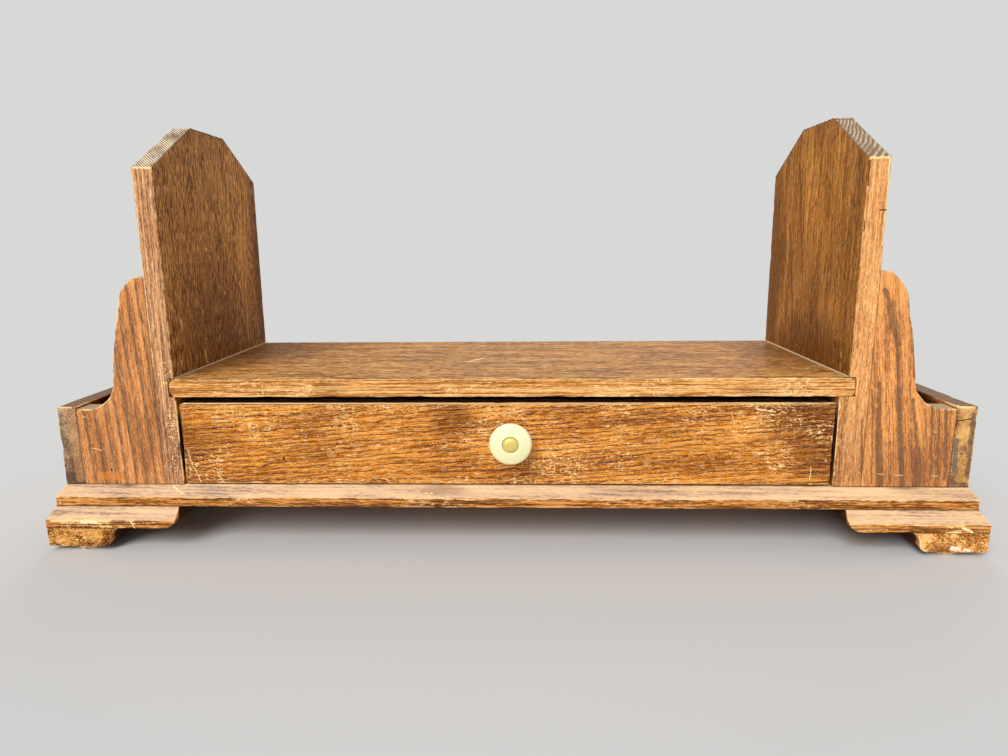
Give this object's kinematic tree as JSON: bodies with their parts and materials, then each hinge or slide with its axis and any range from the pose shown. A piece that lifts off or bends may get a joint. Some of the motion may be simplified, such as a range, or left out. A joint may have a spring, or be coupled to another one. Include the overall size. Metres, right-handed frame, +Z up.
{
  "type": "desktop book rack",
  "caption": "Free-standing oak desktop book rack: uprights with clipped corners, a shelf for books, a wide drawer under it and an open tray at each end.",
  "frame": {"origin": "centre of the overall box, on the surface that the glides stand on", "axes": "+X to the right as seen from the front, -Y towards the front, where the drawer opens, +Z up"},
  "size_m": [0.7482, 0.2292, 0.3396],
  "materials": {
    "oak": "worn orange-brown varnish",
    "drawer_oak": "bare, darkened with age",
    "plywood": "bare",
    "glazed_knob": "gloss glaze",
    "brass": "dull, yellowed",
    "steel": "dull",
    "glide_steel": "worn nickel plate"
  },
  "bodies": {
    "case": {"base_board": "oak", "left_upright": "oak", "right_upright": "oak", "shelf": "oak", "left_front_bracket": "oak", "right_front_bracket": "oak", "left_rear_bracket": "oak", "right_rear_bracket": "oak", "left_end_wall": "oak", "right_end_wall": "oak", "back_panel": "oak", "right_guide_strip": "oak", "left_foot_plate": "oak", "right_foot_plate": "oak", "left_foot_block": "oak", "right_foot_block": "oak", "base_nails": "steel", "plate_nails": "steel", "block_nails": "steel", "strip_brads": "steel", "front_left_glide": "glide_steel", "front_right_glide": "glide_steel", "rear_left_glide": "glide_steel", "rear_right_glide": "glide_steel"},
    "drawer": {"drawer_front": "oak", "drawer_left_side": "drawer_oak", "drawer_right_side": "drawer_oak", "drawer_back": "drawer_oak", "drawer_bottom": "plywood", "drawer_brads": "steel", "drawer_knob": "glazed_knob", "knob_bolt": "brass", "knob_washer": "brass", "knob_nut": "brass"}
  },
  "joints": [
    {"name": "drawer_slide", "type": "slide", "parent": "case", "child": "drawer", "axis": [0, -1, 0], "range_m": [0, 0.145]}
  ]
}
